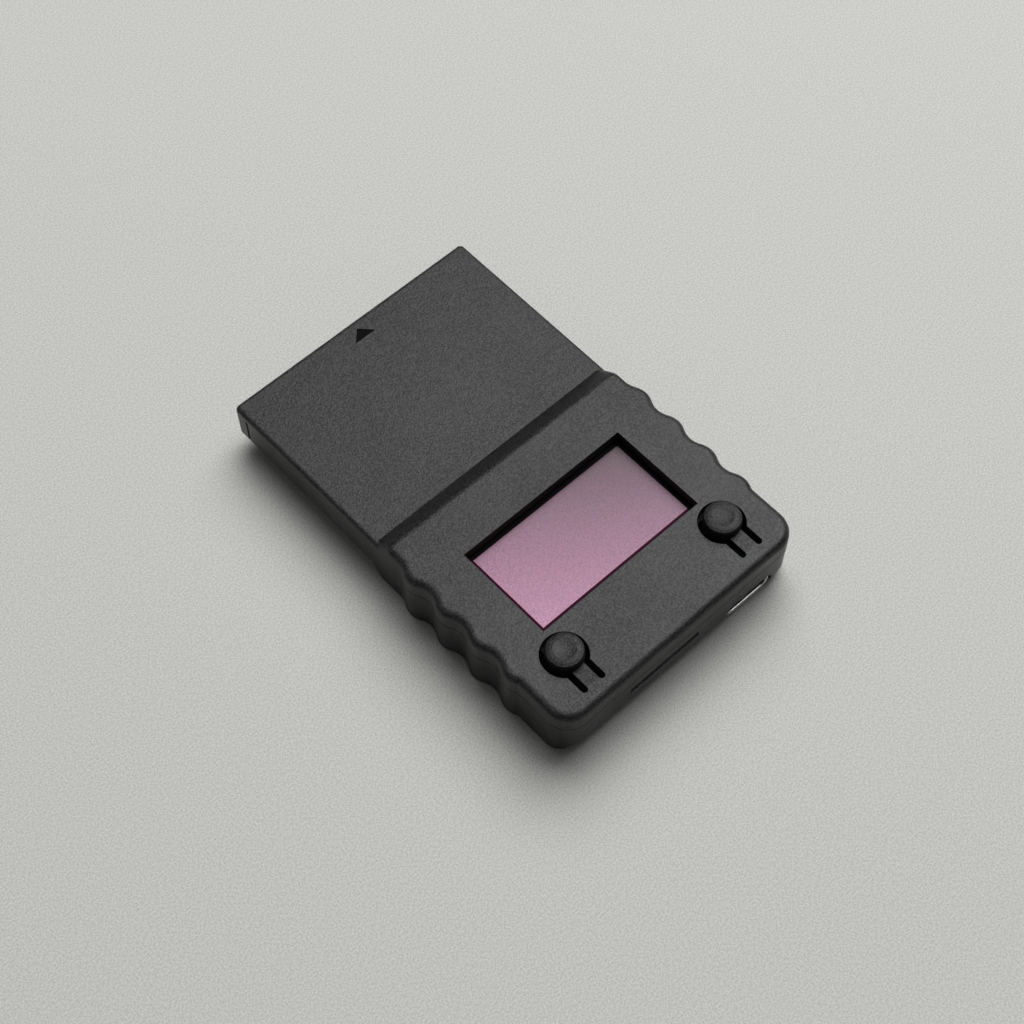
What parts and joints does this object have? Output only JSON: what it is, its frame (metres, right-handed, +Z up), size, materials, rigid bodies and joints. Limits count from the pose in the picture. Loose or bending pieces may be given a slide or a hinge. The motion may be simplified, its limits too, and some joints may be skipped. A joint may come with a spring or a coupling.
{
  "type": "console memory card",
  "caption": "Flat console memory card with an edge-connector insert, a thicker scalloped grip, a small display window, flexing push buttons, a charging socket and a storage card slot.",
  "frame": {"origin": "under the middle of the card, on the surface that it lies on", "axes": "+Y towards the end that goes into the console, +X across the card, +Z up out of the display"},
  "size_m": [0.047, 0.072, 0.0131],
  "materials": {
    "shell": "fine moulded texture, charcoal",
    "button": "fine moulded texture, charcoal",
    "board": "solder mask over glass fibre",
    "contact_metal": "gold plated",
    "display_glass": "dark display panel",
    "display_film": "pink protective film",
    "soft_foam": "soft foam",
    "ribbon": "amber film",
    "socket_metal": "plated sheet",
    "insulator": "black moulding",
    "chip": "black moulding compound",
    "crystal_can": "metal lid",
    "screw": "zinc plated",
    "plunger": "pale switch plunger"
  },
  "bodies": {
    "case": {"top_shell": "shell", "bottom_shell": "shell", "main_board": "board", "edge_contacts": "contact_metal", "display_glass": "display_glass", "display_film": "display_film", "display_gasket": "soft_foam", "display_carrier": "soft_foam", "display_ribbon": "ribbon", "usb_shell": "socket_metal", "usb_stand": "insulator", "usb_tongue": "insulator", "card_socket_shell": "socket_metal", "card_socket_base": "insulator", "controller_chip": "chip", "memory_chip": "chip", "regulator": "chip", "crystal": "crystal_can", "chip_passives": "chip", "case_screws": "screw", "left_switch_body": "insulator", "right_switch_body": "insulator"},
    "left_button": {"left_button": "button"},
    "right_button": {"right_button": "button"},
    "left_plunger": {"left_switch_plunger": "plunger"},
    "right_plunger": {"right_switch_plunger": "plunger"}
  },
  "joints": [
    {"name": "left_button_flex", "type": "hinge", "parent": "case", "child": "left_button", "pos_m": [-0.0154, -0.03322, 0.0103], "axis": [-1, 0, 0], "range_deg": [0, 3], "stiffness_Nm_per_rad": 0.06},
    {"name": "left_plunger_slide", "type": "slide", "parent": "case", "child": "left_plunger", "axis": [0, 0, -1], "range_m": [0, 0.00036]},
    {"name": "right_button_flex", "type": "hinge", "parent": "case", "child": "right_button", "pos_m": [0.0154, -0.03322, 0.0103], "axis": [-1, 0, 0], "range_deg": [0, 3], "stiffness_Nm_per_rad": 0.06},
    {"name": "right_plunger_slide", "type": "slide", "parent": "case", "child": "right_plunger", "axis": [0, 0, -1], "range_m": [0, 0.00036]}
  ],
  "couplings": [
    {"joint": "left_plunger_slide", "follows": "left_button_flex", "m_per_rad": 0.0066},
    {"joint": "right_plunger_slide", "follows": "right_button_flex", "m_per_rad": 0.0066}
  ]
}
